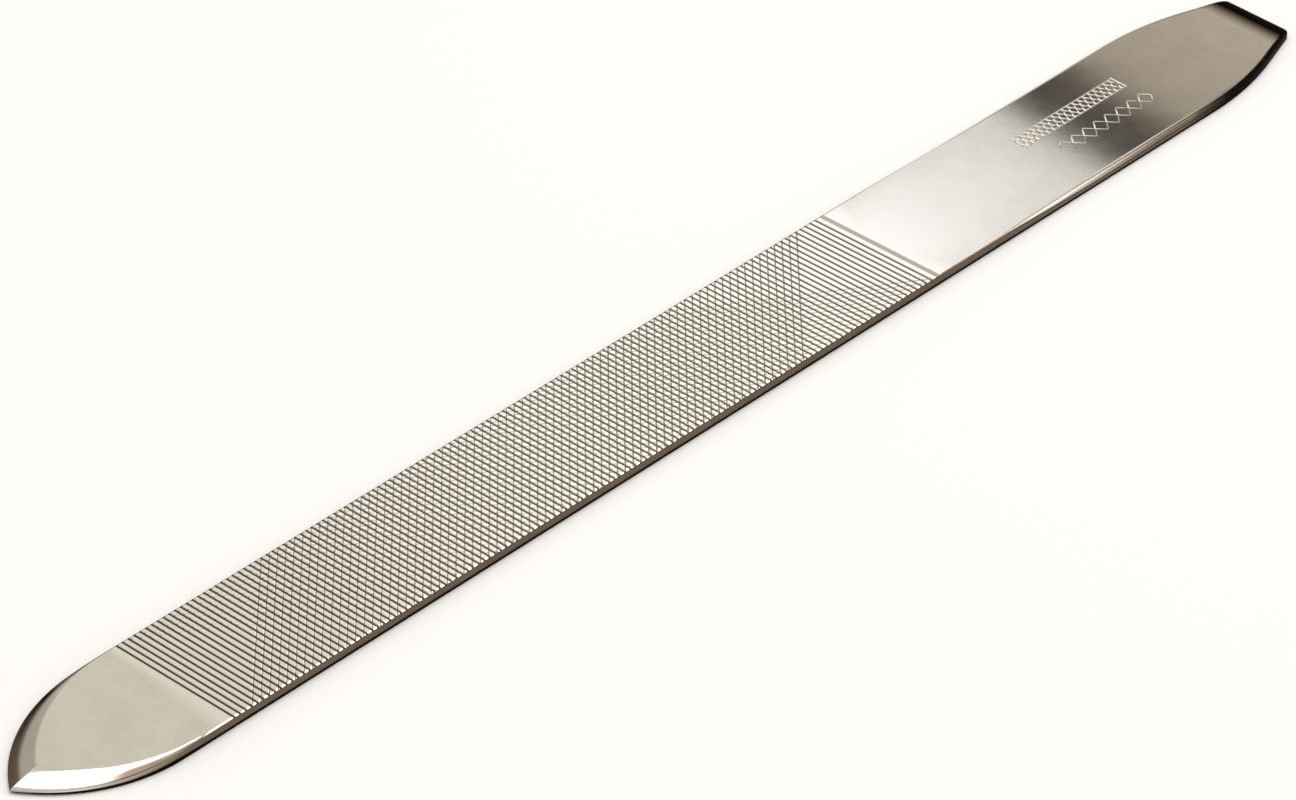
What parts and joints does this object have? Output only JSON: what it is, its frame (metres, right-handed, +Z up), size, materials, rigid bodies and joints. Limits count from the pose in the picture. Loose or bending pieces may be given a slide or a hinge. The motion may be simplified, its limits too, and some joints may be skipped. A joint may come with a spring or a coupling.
{
  "type": "nail file",
  "caption": "One-piece steel nail file: flat strip with a bevelled point, a three-way cut face, a plain handle and a bevelled square end.",
  "frame": {"origin": "under the middle of the strip, on the flat face that it lies on", "axes": "+X along the strip toward the handle end, so the point is at -X; +Z up out of the cut face; Y across the strip"},
  "size_m": [0.15, 0.0132, 0.0011],
  "materials": {
    "strip_steel": "satin stainless steel, bright on the lands of the teeth and dull in the grooves"
  },
  "bodies": {
    "root": {"nail_file": "strip_steel"}
  },
  "joints": []
}
